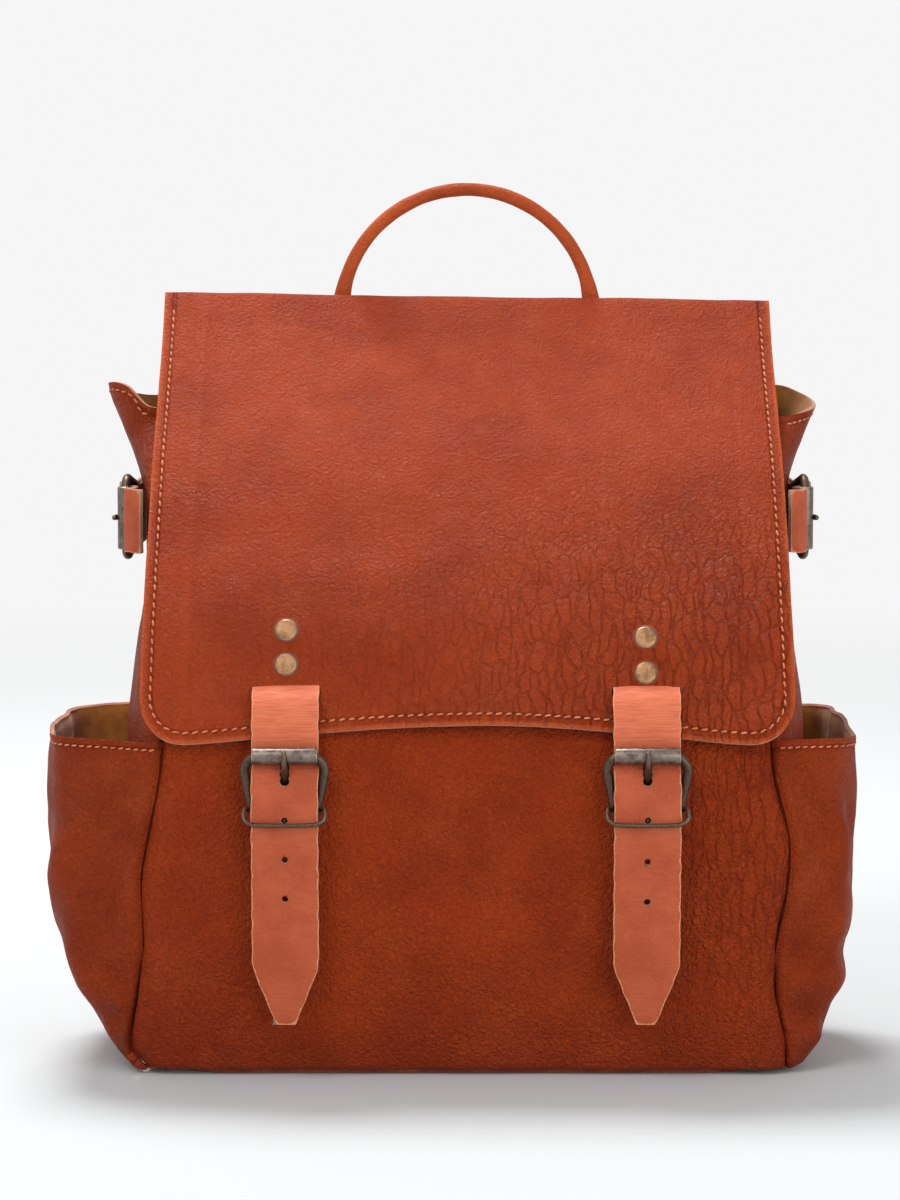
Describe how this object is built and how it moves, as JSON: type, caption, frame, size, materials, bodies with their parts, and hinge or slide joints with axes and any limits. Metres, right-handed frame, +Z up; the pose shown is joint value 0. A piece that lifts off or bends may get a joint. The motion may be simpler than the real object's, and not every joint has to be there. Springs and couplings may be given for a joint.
{
  "type": "leather backpack",
  "caption": "Small upright leather backpack with a long buckled flap, open side pockets, cinched gussets, rolled handle and adjustable shoulder straps.",
  "frame": {"origin": "on the underside of the base panel, midway between the gussets and 1 mm behind the middle of the base", "axes": "+Z up, +Y towards the wearer's back panel, the flap and closure straps face -Y, X across"},
  "size_m": [0.369, 0.2485, 0.4058],
  "materials": {
    "body_leather": "satin",
    "flap_leather": "satin",
    "strap_leather": "matte",
    "raw_leather": "matte",
    "handle_cord": "matte",
    "buckle_bronze": "satin",
    "rivet_brass": "satin"
  },
  "bodies": {
    "bag": {"base_panel": "body_leather", "back_panel": "body_leather", "front_panel": "body_leather", "gusset_left": "body_leather", "gusset_right": "body_leather", "pocket_left": "body_leather", "pocket_right": "body_leather", "flap_yoke": "flap_leather", "snap_socket_left": "rivet_brass", "snap_socket_right": "rivet_brass", "cinch_strap_left": "strap_leather", "cinch_strap_right": "strap_leather", "cinch_chape_left": "strap_leather", "cinch_chape_right": "strap_leather", "cinch_buckle_left": "buckle_bronze", "cinch_buckle_right": "buckle_bronze", "handle_end_left": "flap_leather", "handle_end_right": "flap_leather", "shoulder_patch": "flap_leather", "shoulder_root_left": "flap_leather", "shoulder_root_right": "flap_leather", "lower_tab_left": "flap_leather", "lower_tab_right": "flap_leather"},
    "flap": {"flap_outer": "flap_leather", "flap_lining": "raw_leather", "closure_strap_root_left": "strap_leather", "closure_strap_root_right": "strap_leather", "rivet_upper_left": "rivet_brass", "rivet_upper_right": "rivet_brass", "rivet_lower_left": "rivet_brass", "rivet_lower_right": "rivet_brass"},
    "closure_left": {"closure_strap_left": "strap_leather", "closure_chape_left": "strap_leather", "buckle_frame_left": "buckle_bronze", "wire_keeper_left": "buckle_bronze", "snap_stud_left": "rivet_brass"},
    "closure_right": {"closure_strap_right": "strap_leather", "closure_chape_right": "strap_leather", "buckle_frame_right": "buckle_bronze", "wire_keeper_right": "buckle_bronze", "snap_stud_right": "rivet_brass"},
    "roller_left": {"buckle_roller_left": "buckle_bronze"},
    "roller_right": {"buckle_roller_right": "buckle_bronze"},
    "prong_left": {"buckle_prong_left": "buckle_bronze"},
    "prong_right": {"buckle_prong_right": "buckle_bronze"},
    "cinch_roller_left": {"cinch_roller_left": "buckle_bronze"},
    "cinch_roller_right": {"cinch_roller_right": "buckle_bronze"},
    "cinch_prong_left": {"cinch_prong_left": "buckle_bronze"},
    "cinch_prong_right": {"cinch_prong_right": "buckle_bronze"},
    "handle": {"handle_cover": "flap_leather", "handle_core": "handle_cord"},
    "shoulder_left": {"shoulder_strap_left": "flap_leather", "adjuster_strap_left": "strap_leather", "adjuster_buckle_left": "buckle_bronze"},
    "shoulder_right": {"shoulder_strap_right": "flap_leather", "adjuster_strap_right": "strap_leather", "adjuster_buckle_right": "buckle_bronze"},
    "adjuster_prong_left": {"adjuster_prong_left": "buckle_bronze"},
    "adjuster_prong_right": {"adjuster_prong_right": "buckle_bronze"}
  },
  "joints": [
    {"name": "flap_open", "type": "hinge", "parent": "bag", "child": "flap", "pos_m": [0, 0.064, 0.3505], "axis": [-1, 0, 0], "range_deg": [0, 125]},
    {"name": "closure_left_lift", "type": "hinge", "parent": "flap", "child": "closure_left", "pos_m": [-0.081, -0.0795, 0.176], "axis": [-1, 0, 0], "range_deg": [0, 75]},
    {"name": "closure_right_lift", "type": "hinge", "parent": "flap", "child": "closure_right", "pos_m": [0.081, -0.0795, 0.176], "axis": [-1, 0, 0], "range_deg": [0, 75]},
    {"name": "roller_left_spin", "type": "hinge", "parent": "closure_left", "child": "roller_left", "pos_m": [-0.081, -0.093, 0.151], "axis": [1, 0, 0], "continuous": true},
    {"name": "roller_right_spin", "type": "hinge", "parent": "closure_right", "child": "roller_right", "pos_m": [0.081, -0.093, 0.151], "axis": [1, 0, 0], "continuous": true},
    {"name": "prong_left_play", "type": "hinge", "parent": "closure_left", "child": "prong_left", "pos_m": [-0.081, -0.091, 0.122], "axis": [1, 0, 0], "range_deg": [0, 3]},
    {"name": "prong_right_play", "type": "hinge", "parent": "closure_right", "child": "prong_right", "pos_m": [0.081, -0.091, 0.122], "axis": [1, 0, 0], "range_deg": [0, 3]},
    {"name": "cinch_roller_left_spin", "type": "hinge", "parent": "bag", "child": "cinch_roller_left", "pos_m": [-0.1585, -0.002, 0.25], "axis": [0, 0, 1], "continuous": true},
    {"name": "cinch_roller_right_spin", "type": "hinge", "parent": "bag", "child": "cinch_roller_right", "pos_m": [0.1585, -0.002, 0.25], "axis": [0, 0, 1], "continuous": true},
    {"name": "cinch_prong_left_play", "type": "hinge", "parent": "bag", "child": "cinch_prong_left", "pos_m": [-0.1565, 0.027, 0.25], "axis": [0, 0, -1], "range_deg": [0, 3]},
    {"name": "cinch_prong_right_play", "type": "hinge", "parent": "bag", "child": "cinch_prong_right", "pos_m": [0.1565, 0.027, 0.25], "axis": [0, 0, 1], "range_deg": [0, 3]},
    {"name": "handle_fold", "type": "hinge", "parent": "bag", "child": "handle", "pos_m": [0.0007, 0.071, 0.342], "axis": [-1, 0, 0], "range_deg": [0, 75], "stiffness_Nm_per_rad": 0.03},
    {"name": "shoulder_left_swing", "type": "hinge", "parent": "bag", "child": "shoulder_left", "pos_m": [-0.038, 0.0765, 0.318], "axis": [0.2861, 0, 0.9582], "range_deg": [-25, 25], "stiffness_Nm_per_rad": 0.2},
    {"name": "shoulder_right_swing", "type": "hinge", "parent": "bag", "child": "shoulder_right", "pos_m": [0.038, 0.0765, 0.318], "axis": [0.2861, 0, -0.9582], "range_deg": [-25, 25], "stiffness_Nm_per_rad": 0.2},
    {"name": "adjuster_prong_left_play", "type": "hinge", "parent": "shoulder_left", "child": "adjuster_prong_left", "pos_m": [-0.08149, 0.14, 0.17236], "axis": [0.9582, 0, -0.2861], "range_deg": [0, 3]},
    {"name": "adjuster_prong_right_play", "type": "hinge", "parent": "shoulder_right", "child": "adjuster_prong_right", "pos_m": [0.08149, 0.14, 0.17236], "axis": [0.9582, 0, 0.2861], "range_deg": [0, 3]}
  ]
}
